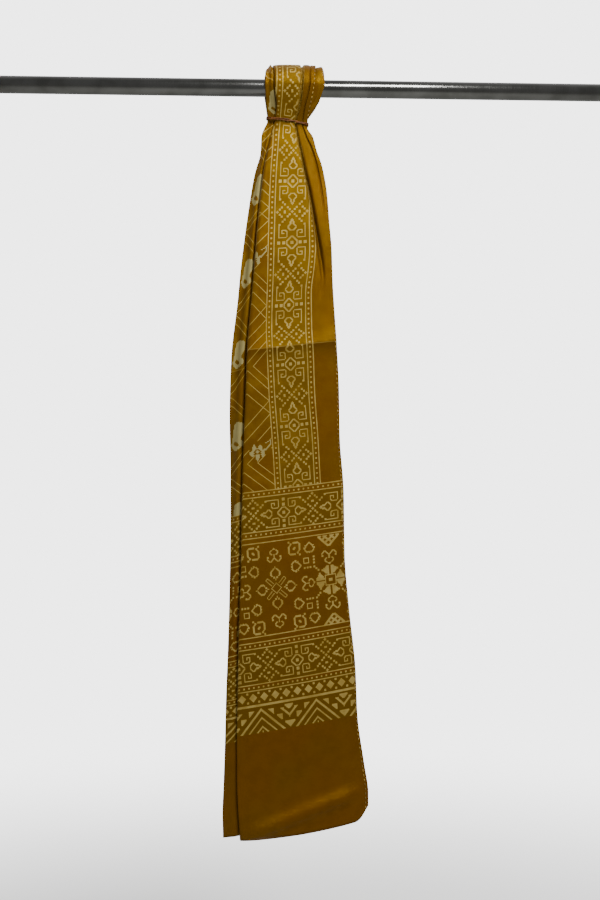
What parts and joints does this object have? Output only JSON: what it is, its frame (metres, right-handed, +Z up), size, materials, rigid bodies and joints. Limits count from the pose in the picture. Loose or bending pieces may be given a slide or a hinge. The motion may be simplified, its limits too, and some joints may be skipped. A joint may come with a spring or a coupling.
{
  "type": "printed silk dupatta hung on a round rail",
  "caption": "Long printed silk dupatta folded in layers, hung over a round steel rail at its middle and gathered under it with an elastic band.",
  "frame": {"origin": "on the rail's axis, above the middle of the hanging cloth", "axes": "+X along the rail to the right, -Y towards the front, +Z up"},
  "size_m": [1, 0.064, 1.1208],
  "materials": {
    "rail": "polished stainless steel tube",
    "silk": "smooth mustard silk with a cream tie-dye style print",
    "elastic": "covered elastic, reddish brown"
  },
  "bodies": {
    "root": {"rail": "rail", "dupatta": "silk", "tie_band": "elastic"}
  },
  "joints": []
}
